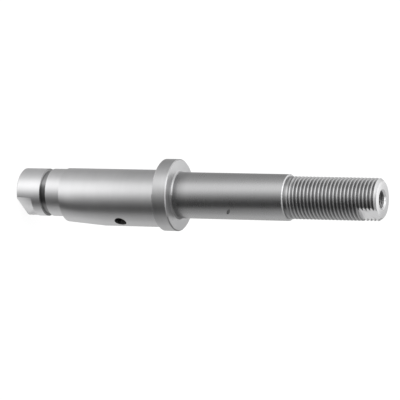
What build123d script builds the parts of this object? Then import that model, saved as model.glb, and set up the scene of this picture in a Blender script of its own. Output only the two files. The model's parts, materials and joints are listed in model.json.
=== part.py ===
from build123d import *
from math import radians, tan
import os

# A brake anchor pin: one turned steel bar that a brake shoe swings on.
# Its main axis is Z and it stands on its spigot end, so z = 0 is that end
# face and the threaded end is at the top. The throw of the journal, both
# flats and the grease outlet face -Y. All sizes are in millimetres.

# Spigot: the plain end that holds the retaining ring
spigot_diameter = 25.0
spigot_length = 26.0
spigot_edge_break = 0.5
groove_start = 13.5
groove_width = 3.4
groove_depth = 1.2

# Journal: the bearing length that the shoe turns on, off centre by its throw
journal_diameter = 29.8
journal_length = 55.0
journal_throw = 2.3
journal_root_fillet = 0.6

# Lead-in: a slow taper turned on the main axis, which meets only the high side
lead_in_step = 2.7
lead_in_angle = 4.6

# Collar: the flange whose upper face seats on the brake spider
collar_diameter = 37.5
collar_thickness = 8.0
collar_edge_break = 0.5
seat_fillet = 1.0

# Shank: the length that is held in the bore of the spider
shank_diameter = 24.0
shank_length = 62.0
shank_edge_break = 0.5

# Threaded end, at the major diameter of its M22 x 2 thread
thread_diameter = 22.0
thread_length = 50.0
thread_end_break = 1.6

# Flats that show where the high side of the journal is, and take a spanner
flat_offset = 9.0
spigot_flat_length = 8.5
thread_flat_length = 9.8

# Grease way: a port for an M10 x 1 nipple, a long drilled way and its outlet
port_diameter = 9.0
port_depth = 14.0
port_mouth_break = 0.9
way_diameter = 6.0
way_overrun = 4.5
outlet_diameter = 6.4
outlet_position = 33.5
drill_point_angle = 118.0

# Centre drilling in the spigot end, left from turning
centre_pilot_diameter = 3.2
centre_pilot_depth = 6.0
centre_mouth_diameter = 6.8
centre_cone_angle = 60.0

# Radii and heights that follow from the sizes above
spigot_radius = spigot_diameter / 2
journal_radius = journal_diameter / 2
collar_radius = collar_diameter / 2
shank_radius = shank_diameter / 2
thread_radius = thread_diameter / 2
journal_z = spigot_length
collar_z = journal_z + journal_length
seat_z = collar_z + collar_thickness
thread_z = seat_z + shank_length
top_z = thread_z + thread_length
outlet_z = journal_z + outlet_position


def turn(outline):
    """Turn a closed outline of radius and height about the main axis."""
    return revolve(make_face(Plane.XZ * outline), Axis.Z)


def spigot():
    """The plain end, with its ring groove and broken end edge."""
    groove_radius = spigot_radius - groove_depth
    groove_end = groove_start + groove_width
    return turn(
        Polyline(
            (0, 0),
            (spigot_radius - spigot_edge_break, 0),
            (spigot_radius, spigot_edge_break),
            (spigot_radius, groove_start),
            (groove_radius, groove_start),
            (groove_radius, groove_end),
            (spigot_radius, groove_end),
            (spigot_radius, journal_z),
            (0, journal_z),
            close=True,
        )
    )


def journal():
    """The off-centre bearing length, with the lead-in taper on its high side."""
    root_radius = journal_radius + journal_root_fillet
    root_z = collar_z - journal_root_fillet
    outline = Polyline(
        (root_radius, collar_z),
        (0, collar_z),
        (0, journal_z),
        (journal_radius, journal_z),
        (journal_radius, root_z),
    )
    root = CenterArc((root_radius, root_z), journal_root_fillet, 180, -90)
    bearing = Pos(0, -journal_throw, 0) * turn(outline + root)
    lead_in_radius = spigot_radius + lead_in_step
    taper_radius = lead_in_radius + journal_length * tan(radians(lead_in_angle))
    taper = turn(
        Polyline(
            (0, journal_z),
            (lead_in_radius, journal_z),
            (taper_radius, collar_z),
            (0, collar_z),
            close=True,
        )
    )
    return bearing & taper


def collar_and_shank():
    """The collar, the shank and the thread blank, turned in one outline."""
    collar_outline = Polyline(
        (shank_radius, seat_z + seat_fillet),
        (0, seat_z + seat_fillet),
        (0, collar_z),
        (collar_radius - collar_edge_break, collar_z),
        (collar_radius, collar_z + collar_edge_break),
        (collar_radius, seat_z - collar_edge_break),
        (collar_radius - collar_edge_break, seat_z),
        (shank_radius + seat_fillet, seat_z),
    )
    seat_root = CenterArc(
        (shank_radius + seat_fillet, seat_z + seat_fillet), seat_fillet, 180, 90
    )
    shank = turn(
        Polyline(
            (0, seat_z),
            (shank_radius, seat_z),
            (shank_radius, thread_z - shank_edge_break),
            (shank_radius - shank_edge_break, thread_z),
            (thread_radius, thread_z),
            (thread_radius, top_z - thread_end_break),
            (thread_radius - thread_end_break, top_z),
            (0, top_z),
            close=True,
        )
    )
    return turn(collar_outline + seat_root) + shank


def flat_cut(start, length):
    """What is milled away to leave a flat on the high side."""
    return Pos(0, -flat_offset, start) * Box(
        collar_diameter, collar_radius, length, align=(Align.CENTER, Align.MAX, Align.MIN)
    )


def grease_way():
    """The nipple port, the way down the axis and the outlet to the high side."""
    port_radius = port_diameter / 2
    way_radius = way_diameter / 2
    point_slope = tan(radians(drill_point_angle / 2))
    way_end = outlet_z - way_overrun
    port_end = top_z - port_depth
    bores = turn(
        Polyline(
            (0, way_end - way_radius / point_slope),
            (way_radius, way_end),
            (way_radius, port_end - (port_radius - way_radius) / point_slope),
            (port_radius, port_end),
            (port_radius, top_z - port_mouth_break),
            (port_radius + port_mouth_break, top_z),
            (0, top_z),
            close=True,
        )
    )
    outlet = Pos(0, 0, outlet_z) * Rot(90, 0, 0) * Cylinder(
        outlet_diameter / 2,
        journal_radius + journal_throw,
        align=(Align.CENTER, Align.CENTER, Align.MIN),
    )
    return bores + outlet


def centre_drilling():
    """The lathe centre in the spigot end."""
    pilot_radius = centre_pilot_diameter / 2
    mouth_radius = centre_mouth_diameter / 2
    cone_depth = (mouth_radius - pilot_radius) / tan(radians(centre_cone_angle / 2))
    point = pilot_radius / tan(radians(drill_point_angle / 2))
    return turn(
        Polyline(
            (0, 0),
            (mouth_radius, 0),
            (pilot_radius, cone_depth),
            (pilot_radius, centre_pilot_depth),
            (0, centre_pilot_depth + point),
            close=True,
        )
    )


def anchor_pin():
    """The whole pin as one solid."""
    pin = spigot() + journal() + collar_and_shank()
    pin -= flat_cut(0, spigot_flat_length)
    pin -= flat_cut(top_z - thread_flat_length, thread_flat_length)
    pin -= grease_way()
    return pin - centre_drilling()


os.makedirs("parts", exist_ok=True)
pin = anchor_pin()
export_step(pin, "parts/anchor_pin.step")
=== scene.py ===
import json
from math import cos, hypot, pi, radians, sin, tan

import bmesh
import bpy
from mathutils import Matrix, Vector


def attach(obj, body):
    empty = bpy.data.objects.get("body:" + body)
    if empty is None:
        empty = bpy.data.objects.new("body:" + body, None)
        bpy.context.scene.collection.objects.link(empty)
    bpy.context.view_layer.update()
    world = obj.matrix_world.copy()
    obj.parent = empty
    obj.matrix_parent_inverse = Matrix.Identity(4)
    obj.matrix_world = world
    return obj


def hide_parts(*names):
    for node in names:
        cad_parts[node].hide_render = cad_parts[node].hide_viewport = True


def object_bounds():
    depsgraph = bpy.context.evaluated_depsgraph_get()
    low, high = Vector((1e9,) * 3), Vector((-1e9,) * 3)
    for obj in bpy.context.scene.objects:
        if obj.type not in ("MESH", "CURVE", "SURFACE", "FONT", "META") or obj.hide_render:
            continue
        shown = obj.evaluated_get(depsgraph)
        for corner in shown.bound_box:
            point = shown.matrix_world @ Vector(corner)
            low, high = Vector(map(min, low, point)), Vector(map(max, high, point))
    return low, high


# A brake anchor pin, stood on its spigot end, seen as in the photograph.
# Metres, in the frame of the CAD model: +Z runs up to the threaded end and
# -Y is the high side, with the flats and the grease outlet.

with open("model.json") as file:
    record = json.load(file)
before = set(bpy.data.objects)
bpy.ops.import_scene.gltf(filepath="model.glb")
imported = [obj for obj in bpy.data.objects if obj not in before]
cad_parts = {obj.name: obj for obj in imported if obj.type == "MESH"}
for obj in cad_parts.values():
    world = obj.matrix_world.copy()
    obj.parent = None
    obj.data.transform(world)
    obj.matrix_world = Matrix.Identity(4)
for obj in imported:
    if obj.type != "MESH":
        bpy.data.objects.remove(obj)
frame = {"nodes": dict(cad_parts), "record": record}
cad_box = [list(corner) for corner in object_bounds()]
mm = 0.001
mounts = {mount["name"]: mount for mount in frame["record"]["mounts"]}
cad_pin = frame["nodes"]["anchor_pin"]


def wall(name):
    """Radius, lowest and highest place of a round mount, as the record gives them."""
    half = mounts[name]["dims"]["length_mm"] * mm / 2
    middle = mounts[name]["pos_m"][2]
    return mounts[name]["dims"]["r_mm"] * mm, middle - half, middle + half


shank_radius, shank_low, shank_high = wall("shank")
journal_radius, journal_low, journal_high = wall("journal")
thread_radius, thread_low, thread_high = wall("thread")
port_radius, port_low, port_high = wall("grease_port")
journal_y = mounts["journal"]["pos_m"][1]
seat_z = mounts["collar_seat"]["pos_m"][2]
top_z = cad_box[1][2]
collar_radius = cad_box[1][0]

# What the record has no mount for
collar_low = 81.0 * mm
spigot_radius = 12.5 * mm
flat_y = -9.0 * mm
way_radius = 3.0 * mm
way_reach = 15 * mm
outlet_z = 59.5 * mm
outlet_radius = 3.2 * mm
centre_drilling_radius = 3.4 * mm
centre_drilling_depth = 7.5 * mm
groove_low = 13.5 * mm
groove_high = 16.9 * mm

# The lead-in taper of the journal. It is worn round down to worn_from below the
# journal's wall, and less and less over the next worn_over.
lead_in_radius = 15.2 * mm
lead_in_degrees = 4.6
worn_from = 0.8 * mm
worn_over = 1.1 * mm

# The broken edge of the threaded end, and how many degrees it is worn round by the end face
end_break = 1.6 * mm
end_break_degrees = 45
end_edge_wear = 12

# The faced ends are not quite flat: how far off their crown curves round
seat_crown = 150 * mm
end_crown = 80 * mm

# Thread of the threaded end and of the grease port. Each grows over its run-out, the outer
# one from its first share of the depth, and each cutter starts clear of the plain wall.
thread_pitch = 2.0 * mm
thread_crest = 10.97 * mm
thread_depth = 1.2 * mm
thread_run_out = 5.5 * mm
thread_first_share = 0.25
thread_phase = 0.98
thread_steps = 96
thread_clear = 0.15 * mm
thread_clear_fade = 3
port_pitch = 1.0 * mm
port_depth = 0.45 * mm
port_run_out = 2.0 * mm
port_steps = 48
port_clear = 0.05 * mm

# One pitch of a thread, from one crest to the next: share of the pitch, share of the depth
thread_profile = [
    (0.00, 0.00),
    (0.09, 0.00),
    (0.13, 0.07),
    (0.29, 0.54),
    (0.45, 0.96),
    (0.50, 1.00),
    (0.55, 1.00),
    (0.60, 0.96),
    (0.76, 0.54),
    (0.92, 0.07),
    (0.96, 0.00),
]

# A small dent in the shank
dent_azimuth = -16.5
dent_z = 120.3 * mm
dent_half_height = 1.0 * mm
dent_half_width = 3.3 * mm
dent_half_thickness = 0.8 * mm
dent_depth = 0.36 * mm
dent_tilt = 28

# How closely a face has to match a wall or a height to be taken for a part of it
weld_distance = 0.001 * mm
touching = 0.01 * mm
near = 0.05 * mm
about = 0.1 * mm
dent_least = 0.03 * mm
outlet_square = 0.3 * mm
journal_match = 0.15 * mm
journal_end_margin = 0.02 * mm
journal_start_margin = 0.2 * mm
journal_root = 0.7 * mm
rim_width = 0.6 * mm
port_mouth = 1.0 * mm
port_point = 5 * mm

# How much of a face's normal lies along the axis
faced = 0.99
level = 0.9
rim_slope = 0.6
shank_end_slope = 0.5
root_slope = 0.1
crest_upright = 0.02
shank_upright = 0.01
end_break_slopes = (0.65, 0.75)
port_break_slopes = (0.6, 0.8)

# How much of a normal has to look outward, and how squarely, on a turned surface
least_outward = 0.05
taper_outward = 0.7
squarely = 0.9995

# The sharpest bend that is still shaded as a smooth one
sharp_degrees = 28

# How the grain of the steel leans round the pin: height in millimetres, degrees
grain_lean = [
    (0, -3.5),
    (14, -3.5),
    (18, -1.0),
    (25.9, -1.0),
    (26.1, -3.0),
    (50, 0.0),
    (81, 0.0),
    (89, -0.5),
    (104, 0.0),
    (128, 1.7),
    (151, 4.6),
]

# How the steel's colour changes along the pin: two heights, share of the colour at each. The spigot's
# and journal's fades paint a falloff of light along the pin, and the shank's paints shade next to the
# collar's seat.
spigot_painted_falloff = (10 * mm, 22 * mm, 1.0, 0.91)
journal_painted_falloff = (journal_low, journal_high, 1.0, 0.81)
shank_painted_shade = (seat_z + 1 * mm, seat_z + 9 * mm, 0.62, 1.0)
thread_fade = (thread_low, thread_low + 5 * mm, 0.50, 1.0)

# Painted shade in the thread's root: radius where it begins, radius where it is full, share of the
# colour left in the root
thread_root_painted_shade = (10.7 * mm, 10.0 * mm, 0.50)

# Painted shade on one side of the ring groove: azimuth, share of the colour left there, and how
# squarely a place must face that side for the shade to begin and to be full
groove_painted_shade = (-52, 0.32)
painted_shade_side_edge = (0.85, 0.98)

# Which way the half of the seat's edge with painted shade faces, and which half of other edges gets a
# painted highlight
painted_shade_edge_azimuth = 68
painted_highlight_azimuth = -148.5

# Marks of the tool and stains: scale and detail of their noise, and what they do
fine_scale, fine_detail = 2600.0, 3.0
coarse_scale, coarse_detail = 420.0, 2.0
stain_scale, stain_detail, stain_swirl = 120.0, 4.0, 0.4
mark_stretch = {"round": 0.012, "straight": 0.02, "faced": 0.02}
marks_on_roughness = 0.05
stains_on_roughness = 0.06
coarse_height = 0.8
blue_tint = 1.01

# The photograph's view: where the camera stands and how the axis lies in the picture
view_azimuth = -58.5
view_elevation = 23.6
view_roll = 1.339
view_distance = 1.6
picture_side = 400
focal_pixels = 3089
middle_right_pixels = 0.2
middle_up_pixels = 4.45
sensor_width = 36.0

# Brightness that the metal sees round about, by the angle from the camera's side of the pin.
# Minus is towards the top of the picture and plus towards its bottom.
wall_light = [
    (-180, 0.60),
    (-130, 0.52),
    (-98, 0.68),
    (-72, 0.92),
    (-54, 1.62),
    (-28, 1.75),
    (-8, 1.00),
    (8, 0.48),
    (22, 0.24),
    (34, 0.09),
    (60, 0.09),
    (72, 0.50),
    (100, 0.72),
    (120, 0.95),
    (150, 0.80),
    (180, 0.60),
]
upper_light = [
    (-180, 0.64),
    (-163, 1.08),
    (-142, 0.98),
    (-125, 1.50),
    (-105, 1.10),
    (-75, 1.15),
    (-55, 2.00),
    (-25, 2.00),
    (0, 0.40),
    (20, 0.20),
    (50, 0.25),
    (90, 0.55),
    (115, 0.52),
    (145, 0.52),
    (162, 0.32),
    (180, 0.64),
]
brightest = 2.0

# Lights of the studio: how bright they are, where they are, and where each begins and is full,
# as the share of a direction that points at the light or upward
front_light = 1.50
front_azimuth = view_azimuth + 10
front_elevation = 44
front_edge = (0.80, 0.93)
front_height = (0.75, 0.90)
behind_light = 1.25
behind_azimuth = view_azimuth - 172
behind_elevation = 42
behind_edge = (0.93, 0.995)
zenith_light = 0.05
zenith_height = (0.92, 0.985)
nadir_light = 1.3
nadir_height = (-0.95, -0.75)
upper_height = (0.02, 0.22)

# The lamp, high on the side that is the top of the picture
lamp_azimuth = view_azimuth - 58
lamp_elevation = 60
lamp_distance = 1.2
lamp_size = 0.9
lamp_watts = 1.5

# The floor: its own pale grey, and the darker grey and glow that the camera sees as white
floor_radius = 8.0
floor_sides = 96
floor_pale = 0.8
floor_shadowed = 0.18
floor_glow = 0.89


def direction(azimuth, elevation):
    """A unit vector; azimuth 0 points along -Y and 90 along +X."""
    a, e = radians(azimuth), radians(elevation)
    return Vector((sin(a) * cos(e), -cos(a) * cos(e), sin(e)))


def clamp(value):
    """The value, kept between 0 and 1."""
    return min(1.0, max(0.0, value))


def helix_sheet(mesh, radius_at, pitch, low, high, steps, phase=0.0):
    """A helical sheet whose rows follow the thread, and the vertex loops of its two ends."""
    per_turn = len(thread_profile)
    rows = round((high - low) / pitch) * per_turn
    grid = []
    for j in range(steps):
        turn = j / steps
        angle = 2 * pi * (turn + phase)
        column = []
        for i in range(rows):
            share, depth = thread_profile[i % per_turn]
            z = low + pitch * (i // per_turn + share + turn)
            r = radius_at(depth, z)
            column.append(mesh.verts.new((r * cos(angle), r * sin(angle), z)))
        grid.append(column)
    for left, right in zip(grid, grid[1:]):
        for i in range(rows - 1):
            mesh.faces.new((left[i], right[i], right[i + 1], left[i + 1]))
    first, last = grid[0], grid[-1]
    for i in range(rows - per_turn - 1):
        above = i + per_turn
        mesh.faces.new((last[i], first[above], first[above + 1], last[i + 1]))
    low_loop = [column[0] for column in grid] + first[per_turn:0:-1]
    high_loop = [column[-1] for column in grid] + last[-2 : -per_turn - 2 : -1]
    return low_loop, high_loop


def object_from(mesh, name):
    """Turns a bmesh into an object, with its faces set to look outward."""
    bmesh.ops.recalc_face_normals(mesh, faces=mesh.faces)
    data = bpy.data.meshes.new(name)
    mesh.to_mesh(data)
    mesh.free()
    made = bpy.data.objects.new(name, data)
    bpy.context.scene.collection.objects.link(made)
    return made


def outside_thread_cutter():
    """A tube whose inner wall is the thread, so that what it takes away is the grooves."""

    def groove(depth, z):
        grown = clamp(thread_first_share + (1 - thread_first_share) * (z - thread_low) / thread_run_out)
        clear = thread_clear * (1 - clamp(thread_clear_fade * grown))
        return thread_crest + clear - depth * thread_depth * grown

    mesh = bmesh.new()
    sizes = (thread_pitch, thread_low, top_z + thread_pitch, thread_steps, thread_phase)
    inner = helix_sheet(mesh, groove, *sizes)
    outer = helix_sheet(mesh, lambda depth, z: thread_radius + thread_pitch, *sizes)
    for inside, outside in zip(inner, outer):
        count = len(inside)
        for i in range(count):
            j = (i + 1) % count
            mesh.faces.new((inside[i], inside[j], outside[j], outside[i]))
    return object_from(mesh, "outside_thread_cutter")


def port_thread_cutter():
    """A rod whose wall is the thread of the grease port."""
    low = port_low + port_pitch

    def groove(depth, z):
        return port_radius - port_clear + depth * port_depth * clamp((z - low) / port_run_out)

    mesh = bmesh.new()
    loops = helix_sheet(mesh, groove, port_pitch, low, top_z + port_pitch, port_steps)
    for loop in loops:
        middle = mesh.verts.new((0, 0, sum(v.co.z for v in loop) / len(loop)))
        for i, vertex in enumerate(loop):
            mesh.faces.new((vertex, loop[(i + 1) % len(loop)], middle))
    return object_from(mesh, "port_thread_cutter")


def dent_cutter():
    """A small egg that sinks into the shank by the depth of the dent."""
    out = direction(dent_azimuth, 0) * (shank_radius + dent_half_thickness - dent_depth)
    sizes = Matrix.Diagonal((dent_half_width, dent_half_thickness, dent_half_height, 1))
    turn = Matrix.Rotation(radians(dent_azimuth), 4, "Z") @ Matrix.Rotation(radians(dent_tilt), 4, "Y")
    mesh = bmesh.new()
    place = Matrix.Translation(out + Vector((0, 0, dent_z))) @ turn @ sizes
    bmesh.ops.create_icosphere(mesh, subdivisions=3, radius=1.0, matrix=place)
    return object_from(mesh, "dent_cutter")


def cut(target, cutter):
    """Takes the cutter out of the target and deletes the cutter."""
    modifier = target.modifiers.new("cut", "BOOLEAN")
    modifier.operation = "DIFFERENCE"
    modifier.solver = "EXACT"
    modifier.object = cutter
    graph = bpy.context.evaluated_depsgraph_get()
    new = bpy.data.meshes.new_from_object(target.evaluated_get(graph))
    target.modifiers.clear()
    old, target.data = target.data, new
    bpy.data.meshes.remove(old)
    bpy.data.objects.remove(cutter)


def copy_of_cad_pin():
    """The CAD solid as one closed mesh of its own, ready to be cut."""
    mesh = bmesh.new()
    mesh.from_mesh(cad_pin.data)
    bmesh.ops.remove_doubles(mesh, verts=mesh.verts, dist=weld_distance)
    return object_from(mesh, "pin")


class Graph:
    """The nodes of one material or world, added and linked by short calls."""

    def __init__(self, owner):
        owner.use_nodes = True
        self.tree = owner.node_tree
        self.tree.nodes.clear()

    def node(self, kind, inputs, **settings):
        """Adds a node, with its settings, and feeds its inputs."""
        made = self.tree.nodes.new(kind)
        for key, value in settings.items():
            setattr(made, key, value)
        for key, value in inputs.items():
            self.feed(made.inputs[key], value)
        return made

    def feed(self, socket, value):
        """Gives an input either a plain value or a link from another node."""
        if isinstance(value, bpy.types.NodeSocket):
            self.tree.links.new(value, socket)
        else:
            socket.default_value = value

    def math(self, operation, *values):
        """One sum on plain numbers."""
        inputs = dict(enumerate(values))
        return self.node("ShaderNodeMath", inputs, operation=operation).outputs[0]

    def vector(self, operation, *values, result=0):
        """One sum on vectors. A sum whose result is a plain number gives it as result 1."""
        inputs = dict(enumerate(values))
        return self.node("ShaderNodeVectorMath", inputs, operation=operation).outputs[result]

    def toward(self, vector, way):
        """How far a unit vector points a given way, from -1 to 1."""
        return self.vector("DOT_PRODUCT", vector, way, result=1)

    def mix(self, share, low, high):
        """low where share is 0, and high where it is 1."""
        return self.node("ShaderNodeMix", {0: share, 2: low, 3: high}).outputs[0]

    def rise(self, value, low, high):
        """0 below low, 1 above high, and smooth between."""
        inputs = {"Value": value, "From Min": low, "From Max": high}
        return self.node("ShaderNodeMapRange", inputs, interpolation_type="SMOOTHSTEP").outputs[0]

    def off_axis(self, place):
        """A place without its height."""
        return self.vector("MULTIPLY", place, (1, 1, 0))

    def noise(self, vector, scale, detail, distortion=0.0):
        """Soft noise from 0 to 1."""
        inputs = {"Vector": vector, "Scale": scale, "Detail": detail, "Distortion": distortion}
        return self.node("ShaderNodeTexNoise", inputs).outputs[0]

    def vary(self, value, noise, amount):
        """A value that noise takes up and down, by up to half the amount."""
        return self.math("MULTIPLY_ADD", self.math("SUBTRACT", noise, 0.5), amount, value)

    def ramp(self, value, stops):
        """A curve through (place, level) stops, with levels up to the brightest."""
        made = self.node("ShaderNodeValToRGB", {0: value})
        elements = made.color_ramp.elements
        while len(elements) < len(stops):
            elements.new(1.0)
        for element, (place, bright) in zip(elements, stops):
            grey = bright / brightest
            element.position = place
            element.color = (grey, grey, grey, 1)
        return self.math("MULTIPLY", made.outputs[0], brightest)


def along_marks(graph, place, marks):
    """Places squeezed so that noise on them runs the way the tool ran."""
    stretch = mark_stretch[marks]
    if marks != "faced":
        return graph.vector("MULTIPLY", place, (stretch, stretch, 1.0))
    radius = graph.vector("LENGTH", graph.off_axis(place), result=1)
    rings = graph.node("ShaderNodeCombineXYZ", {2: radius}).outputs[0]
    return graph.vector("ADD", graph.vector("MULTIPLY", place, (stretch, stretch, 0.0)), rings)


def steel(name, colour, roughness, bump, marks="round", brushed=0.0, stain=0.06, **darker):
    """Bare machined steel. marks says how the tool ran: round, faced or straight.

    brushed is how far its shine is drawn out across the marks, and stain how patchy it is.
    darker may hold the fade, root and side that darkened takes.
    """
    material = bpy.data.materials.new(name)
    graph = Graph(material)
    place = graph.node("ShaderNodeTexCoord", {}).outputs["Object"]
    along = along_marks(graph, place, marks)
    fine = graph.noise(along, fine_scale, fine_detail)
    coarse = graph.noise(along, coarse_scale, coarse_detail)
    cloud = graph.noise(place, stain_scale, stain_detail, stain_swirl)
    shade = graph.vary(graph.vary(1.0, cloud, stain * 2), coarse, stain)
    shade = darkened(graph, place, graph.math("MULTIPLY", shade, colour), **darker)
    rough = graph.vary(graph.vary(roughness, fine, marks_on_roughness), cloud, stains_on_roughness)
    height = graph.math("MULTIPLY_ADD", coarse, coarse_height, fine)
    surface_with(graph, shade, rough, height, bump, brushed)
    return material


def surface_with(graph, shade, rough, height, bump, brushed):
    """Ends a material's nodes with bare metal, its marks running round the main axis."""
    bluish = graph.math("MULTIPLY", shade, blue_tint)
    tint = graph.node("ShaderNodeCombineColor", {0: shade, 1: shade, 2: bluish})
    normal = graph.node("ShaderNodeBump", {"Strength": 1.0, "Distance": bump, "Height": height})
    tangent = graph.node("ShaderNodeTangent", {}, direction_type="RADIAL", axis="Z")
    surface = graph.node(
        "ShaderNodeBsdfPrincipled",
        {
            "Base Color": tint.outputs[0],
            "Metallic": 1.0,
            "Roughness": rough,
            "Anisotropic": brushed,
            "Tangent": tangent.outputs[0],
            "Normal": normal.outputs[0],
        },
    )
    graph.node("ShaderNodeOutputMaterial", {"Surface": surface.outputs[0]})


def darkened(graph, place, shade, fade=None, root=None, side=None):
    """A shade, made darker by height, in the root of a thread or on one side.
    It carries painted shade in the thread's root and on one side of the ring groove, and a
    painted falloff of light along the spigot and journal and painted shade by the collar's seat.

    fade is (low height, high height, share of the colour at each of the two), root is
    (radius where the painted shade begins, radius where it is full, share left there), and side
    is (azimuth of the side with painted shade, share left there).
    """
    if fade:
        low, high, at_low, at_high = fade
        z = graph.node("ShaderNodeSeparateXYZ", {0: place}).outputs[2]
        shade = graph.math("MULTIPLY", shade, graph.mix(graph.rise(z, low, high), at_low, at_high))
    if root:
        root_unshaded, root_shaded, left = root
        out = graph.vector("LENGTH", graph.off_axis(place), result=1)
        shade = graph.math("MULTIPLY", shade, graph.mix(graph.rise(out, root_shaded, root_unshaded), left, 1.0))
    if side:
        azimuth, left = side
        out = graph.vector("NORMALIZE", graph.off_axis(place))
        there = graph.toward(out, direction(azimuth, 0))
        shade = graph.math("MULTIPLY", shade, graph.mix(graph.rise(there, *painted_shade_side_edge), 1.0, left))
    return shade


def make_finishes():
    """One finish for each way the steel was worked: name, colour, roughness, height of the marks."""
    return {
        # The spigot's and journal's colours and fades are partly their finish and partly a painted
        # falloff of light along the pin.
        "spigot": steel("turned_spigot", 0.66, 0.34, 3e-6, brushed=0.5, fade=spigot_painted_falloff),
        "journal": steel("turned_journal", 0.58, 0.32, 3e-6, brushed=0.5, fade=journal_painted_falloff),
        # The shank's fade is painted shade next to the collar's seat.
        "shank": steel("ground_shank", 0.355, 0.28, 8e-7, brushed=0.5, stain=0.04, fade=shank_painted_shade),
        "rim": steel("rough_rim", 0.42, 0.32, 4e-6, brushed=0.4, stain=0.12),
        "seat": steel("faced_seat", 0.60, 0.42, 4e-6, marks="faced"),
        "face": steel("faced_end", 0.84, 0.24, 4e-6, marks="faced"),
        "flat": steel("milled_flat", 0.70, 0.36, 6e-6, marks="straight"),
        # The darkening in the thread's root is painted shade.
        "thread": steel("cut_thread", 0.46, 0.28, 2e-6, stain=0.08, fade=thread_fade, root=thread_root_painted_shade),
        # The groove's dark colour is partly dirt and partly painted shade, with more painted shade on
        # one side.
        "groove": steel("foul_groove", 0.29, 0.45, 1e-5, stain=0.2, side=groove_painted_shade),
        # The steel in the dent is darker than the shank's.
        "dent": steel("foul_dent", 0.17, 0.50, 1e-5, stain=0.2),
        "port": steel("tapped_port", 0.37, 0.45, 1e-5, stain=0.2),
        # The bore's nearly black steel is painted shade inside the holes.
        "bore": steel("drilled_bore", 0.10, 0.50, 1e-5, stain=0.3),
    }


def on_end_edge(centre, normal):
    """Whether a face is part of the broken edge of the threaded end."""
    low, high = end_break_slopes
    at_edge = centre.z > thread_high and hypot(centre.x, centre.y) > thread_radius - end_break
    return at_edge and low < normal.z < high


def on_port_mouth(centre, normal):
    """Whether a face is part of the broken edge of the grease port's mouth."""
    low, high = port_break_slopes
    at_mouth = centre.z > port_high and hypot(centre.x, centre.y) < port_radius + port_mouth
    return at_mouth and low < normal.z < high


def on_flat(centre, normal):
    """Whether a face is part of one of the two flats."""
    return abs(centre.y - flat_y) < touching and normal.y < -faced


def on_side(centre, azimuth):
    """Whether a place is on the half of the pin that faces an azimuth."""
    return centre.dot(direction(azimuth, 0)) > 0


def in_outlet(centre, normal):
    """Whether a face of the journal is part of the grease outlet's wall."""
    from_outlet = hypot(centre.x, centre.z - outlet_z)
    if from_outlet < outlet_radius - near and centre.y < 0:
        return True
    return from_outlet < outlet_radius + near and normal.y * centre.y < outlet_square


def finish_of_hole(centre, normal):
    """The finish of a face in or at a hole along the axis, or nothing elsewhere."""
    out = hypot(centre.x, centre.y)
    if on_port_mouth(centre, normal):
        # One half of the port's mouth gets the bright faced steel as a painted highlight.
        return "face" if on_side(centre, painted_highlight_azimuth) else "seat"
    if out < port_radius + port_depth and centre.z > port_low - port_point and abs(normal.z) < level:
        return "port"
    if out < way_radius + about and centre.z > outlet_z - way_reach and normal.z < level:
        return "bore"
    if out < centre_drilling_radius and centre.z < centre_drilling_depth:
        return "bore"
    return None


def finish_of_collar(centre, normal):
    """The finish of the collar's rim and of the broken edges on both sides of it. One half of the edge
    towards the journal gets a painted highlight and the other darker painted shade; one half of the
    seat's edge gets the groove's dark steel as painted shade.
    """
    if normal.z < -rim_slope:
        return "face" if on_side(centre, painted_highlight_azimuth) else "shank"
    return "groove" if normal.z > rim_slope and on_side(centre, painted_shade_edge_azimuth) else "rim"


def finish_above_seat(centre, normal):
    """The finish of the shank and its root, above the collar's seat. One half of the root's fillet gets
    the brighter rim steel as a painted highlight.
    """
    if centre.z < shank_low and normal.z > root_slope:
        return "rim" if on_side(centre, painted_highlight_azimuth) else "shank"
    return "seat" if centre.z > shank_high and normal.z > shank_end_slope else "shank"


def finish_of(centre, normal):
    """Names the finish of a face from its place and the way it looks."""
    out = hypot(centre.x, centre.y)
    in_hole = finish_of_hole(centre, normal)
    if in_hole:
        return in_hole
    if abs(centre.z - dent_z) < dent_half_width and way_radius < out < shank_radius - dent_least:
        return "dent"
    if groove_low - touching < centre.z < groove_high + touching and out < spigot_radius - near:
        return "groove"
    if on_flat(centre, normal):
        return "flat"
    if on_end_edge(centre, normal):
        return "seat"
    if centre.z > thread_low:
        return "face" if normal.z > faced else "thread"
    if abs(normal.z) > level:
        return "seat" if centre.z > journal_high else "face"
    if centre.z > seat_z:
        return finish_above_seat(centre, normal)
    if out > collar_radius - rim_width:
        return finish_of_collar(centre, normal)
    if centre.z > journal_low:
        return "bore" if in_outlet(centre, normal) else "journal"
    return "spigot"


def worn_lead_in(corner, normal):
    """The normal of the lead-in taper, worn round into the journal where it is shallow."""
    off_axis = Vector((corner.x, corner.y - journal_y, 0))
    depth = journal_radius - off_axis.length
    share = clamp((depth - worn_from) / worn_over)
    share = share * share * (3 - 2 * share)
    return off_axis.normalized().lerp(normal, share).normalized()


def journal_normal(corner, normal, centre):
    """The true normal at a corner of the journal or of its lead-in taper, or nothing elsewhere."""
    out = Vector((centre.x, centre.y, 0))
    slope = radians(lead_in_degrees)
    from_taper = abs(out.length - lead_in_radius - (centre.z - journal_low) * tan(slope))
    from_journal = abs(hypot(centre.x, centre.y - journal_y) - journal_radius)
    if min(from_taper, from_journal) > journal_match or normal.dot(out.normalized()) < taper_outward:
        return None
    if from_journal < from_taper:
        return Vector((corner.x, corner.y - journal_y, 0)).normalized()
    made = Vector((corner.x, corner.y, 0)).normalized() * cos(slope)
    made.z = -sin(slope)
    return worn_lead_in(corner, made)


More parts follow.
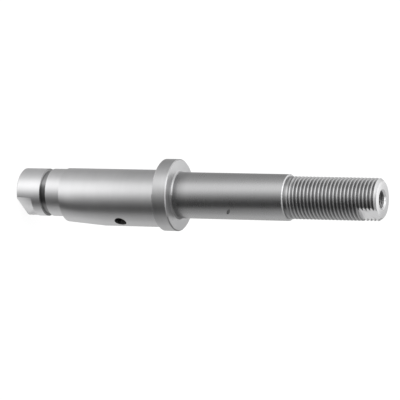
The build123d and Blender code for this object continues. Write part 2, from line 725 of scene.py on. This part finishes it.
def normal_about(axis_y, corner, normal, centre):
    """The true normal of a surface turned about the axis at axis_y, or nothing if it isn't one."""
    middle_out = Vector((centre.x, centre.y - axis_y, 0))
    flat_part = Vector((normal.x, normal.y, 0))
    if middle_out.length < about or flat_part.length < least_outward:
        return None
    side = middle_out.normalized().dot(flat_part.normalized())
    if abs(side) < squarely:
        return None
    out = Vector((corner.x, corner.y - axis_y, 0)).normalized()
    made = out * flat_part.length * (1 if side > 0 else -1)
    made.z = normal.z
    return made


def turned_normal(corner, normal, centre):
    """The true normal of a turned surface at a corner, or zero to leave the smoothed one."""
    made = None
    if journal_low + journal_end_margin < centre.z < collar_low - journal_root:
        made = journal_normal(corner, normal, centre)
    from_journal = abs(hypot(centre.x, centre.y - journal_y) - journal_radius)
    beside_journal = journal_low + journal_start_margin < centre.z < collar_low
    if not made and beside_journal and from_journal < journal_root:
        made = normal_about(journal_y, corner, normal, centre)
    if not made:
        made = normal_about(0.0, corner, normal, centre)
    return made or Vector((0, 0, 0))


def direction_out(corner, lean=0.0):
    """The way from the main axis to a corner, turned about the axis by lean."""
    out = Vector((corner.x, corner.y, 0)).normalized()
    return Matrix.Rotation(lean, 3, "Z") @ out


def lean_at(z):
    """How far the grain of the steel leans at a height."""
    for (low, at_low), (high, at_high) in zip(grain_lean, grain_lean[1:]):
        if z <= high * mm:
            return radians(at_low + (at_high - at_low) * clamp((z / mm - low) / (high - low)))
    return radians(grain_lean[-1][1])


def worn_end_edge(corner):
    """The normal of the broken edge of the threaded end."""
    out = Vector((corner.x, corner.y, 0))
    worn = end_edge_wear * clamp((thread_radius - out.length) / end_break)
    slope = radians(end_break_degrees + worn)
    made = out.normalized() * cos(slope)
    made.z = sin(slope)
    return made


def crowned_normal(corner):
    """The normal of a faced end, a little higher at its middle than at its rim."""
    crown = end_crown if corner.z > thread_high else seat_crown
    return Vector((corner.x, corner.y, crown)).normalized()


def corner_normal(finish, face, corner):
    """The normal at a corner of a face, or zero to leave the smoothed one."""
    if finish == "shank" and abs(face.normal.z) < shank_upright:
        return direction_out(corner, lean_at(corner.z))
    if finish == "thread" and abs(face.normal.z) < crest_upright:
        return direction_out(corner)
    if on_end_edge(face.center, face.normal):
        return worn_end_edge(corner)
    if finish == "thread":
        return Vector((0, 0, 0))
    if face.normal.z > faced and face.center.z > journal_high:
        return crowned_normal(corner)
    lean = lean_at(corner.z) if finish in ("spigot", "journal") else 0.0
    return Matrix.Rotation(lean, 3, "Z") @ turned_normal(corner, face.normal, face.center)


def dress(piece):
    """Gives every face its finish, and every turned surface its true normals."""
    finishes = make_finishes()
    names = list(finishes)
    data = piece.data
    data.materials.clear()
    for name in names:
        data.materials.append(finishes[name])
    for face in data.polygons:
        face.material_index = names.index(finish_of(face.center, face.normal))
        face.use_smooth = True
    data.set_sharp_from_angle(angle=radians(sharp_degrees))
    normals = [Vector((0, 0, 0))] * len(data.loops)
    for face in data.polygons:
        finish = names[face.material_index]
        for loop in face.loop_indices:
            corner = data.vertices[data.loops[loop].vertex_index].co
            normals[loop] = corner_normal(finish, face, corner)
    data.normals_split_custom_set(normals)


def studio_level(graph, ray):
    """How bright the studio is the way a ray goes: pale, with darker gaps between its lights."""
    ahead = graph.toward(ray, direction(view_azimuth, 0))
    aside = graph.toward(ray, direction(view_azimuth + 90, 0))
    height = graph.node("ShaderNodeSeparateXYZ", {0: ray}).outputs[2]
    angle = graph.math("MULTIPLY_ADD", graph.math("ARCTAN2", aside, ahead), 1 / (2 * pi), 0.5)

    def round_about(stops):
        return graph.ramp(angle, [(turn / 360 + 0.5, bright) for turn, bright in stops])

    in_front = graph.toward(ray, direction(front_azimuth, front_elevation))
    in_front = graph.rise(in_front, *front_edge)
    in_front = graph.math("MULTIPLY", in_front, graph.rise(height, *front_height))
    behind = graph.toward(ray, direction(behind_azimuth, behind_elevation))
    upper = graph.mix(graph.rise(behind, *behind_edge), round_about(upper_light), behind_light)
    upper = graph.mix(graph.rise(height, *zenith_height), upper, zenith_light)
    upper = graph.mix(in_front, upper, front_light)
    lower = graph.mix(graph.rise(height, *nadir_height), nadir_light, round_about(wall_light))
    return graph.mix(graph.rise(height, *upper_height), lower, upper)


def make_world():
    """A white background for the camera, and the studio for the metal."""
    world = bpy.data.worlds.new("studio")
    bpy.context.scene.world = world
    graph = Graph(world)
    ray = graph.node("ShaderNodeTexCoord", {}).outputs["Generated"]
    seen = graph.node("ShaderNodeLightPath", {}).outputs["Is Camera Ray"]
    strength = graph.mix(seen, studio_level(graph, ray), 1.0)
    background = graph.node("ShaderNodeBackground", {"Color": (1, 1, 1, 1), "Strength": strength})
    graph.node("ShaderNodeOutputWorld", {"Surface": background.outputs[0]})


def make_floor():
    """A plain floor that renders white, keeps the soft shadow and isn't mirrored in the steel."""
    material = bpy.data.materials.new("floor")
    graph = Graph(material)

    def matt(grey):
        return graph.node("ShaderNodeBsdfDiffuse", {"Color": (grey, grey, grey, 1)}).outputs[0]

    seen = graph.node("ShaderNodeLightPath", {}).outputs["Is Camera Ray"]
    glow = graph.node("ShaderNodeEmission", {"Strength": floor_glow})
    white = graph.node("ShaderNodeAddShader", {0: matt(floor_shadowed), 1: glow.outputs[0]})
    surface = graph.node("ShaderNodeMixShader", {0: seen, 1: matt(floor_pale), 2: white.outputs[0]})
    graph.node("ShaderNodeOutputMaterial", {"Surface": surface.outputs[0]})
    mesh = bmesh.new()
    bmesh.ops.create_circle(mesh, cap_ends=True, segments=floor_sides, radius=floor_radius)
    floor = object_from(mesh, "floor")
    floor.data.materials.append(material)
    floor.visible_glossy = False


def make_lamp():
    """One large soft lamp that looks at the middle of the pin."""
    data = bpy.data.lights.new("lamp", "AREA")
    data.shape = "DISK"
    data.size = lamp_size
    data.energy = lamp_watts
    lamp = bpy.data.objects.new("lamp", data)
    bpy.context.scene.collection.objects.link(lamp)
    toward = direction(lamp_azimuth, lamp_elevation)
    place = Vector((0, 0, top_z / 2)) + toward * lamp_distance
    turn = toward.to_track_quat("Z", "Y").to_matrix().to_4x4()
    lamp.matrix_world = Matrix.Translation(place) @ turn


def make_camera():
    """Stands the camera where the photograph was taken, rolled so that the axis lies across."""
    back = direction(view_azimuth, view_elevation)
    side = Vector((0, 0, 1)) - back * back.z
    side.normalize()
    up = back.cross(side)
    roll = radians(view_roll)
    right = side * cos(roll) + up * sin(roll)
    up = back.cross(right)
    shift = right * middle_right_pixels + up * middle_up_pixels
    metres_per_pixel = view_distance / focal_pixels
    data = bpy.data.cameras.new("camera")
    data.sensor_width = sensor_width
    data.lens = focal_pixels * sensor_width / picture_side
    data.clip_start = 0.05
    data.clip_end = 50
    camera = bpy.data.objects.new("camera", data)
    bpy.context.scene.collection.objects.link(camera)
    place = Vector((0, 0, top_z / 2)) + back * view_distance - shift * metres_per_pixel
    turn = Matrix((right, up, back)).transposed().to_4x4()
    camera.matrix_world = Matrix.Translation(place) @ turn
    bpy.context.scene.camera = camera


pin = copy_of_cad_pin()
cut(pin, outside_thread_cutter())
cut(pin, port_thread_cutter())
cut(pin, dent_cutter())
dress(pin)
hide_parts("anchor_pin")
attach(pin, "root")

make_world()
make_floor()
make_lamp()
make_camera()
bpy.context.scene.view_settings.view_transform = "Standard"
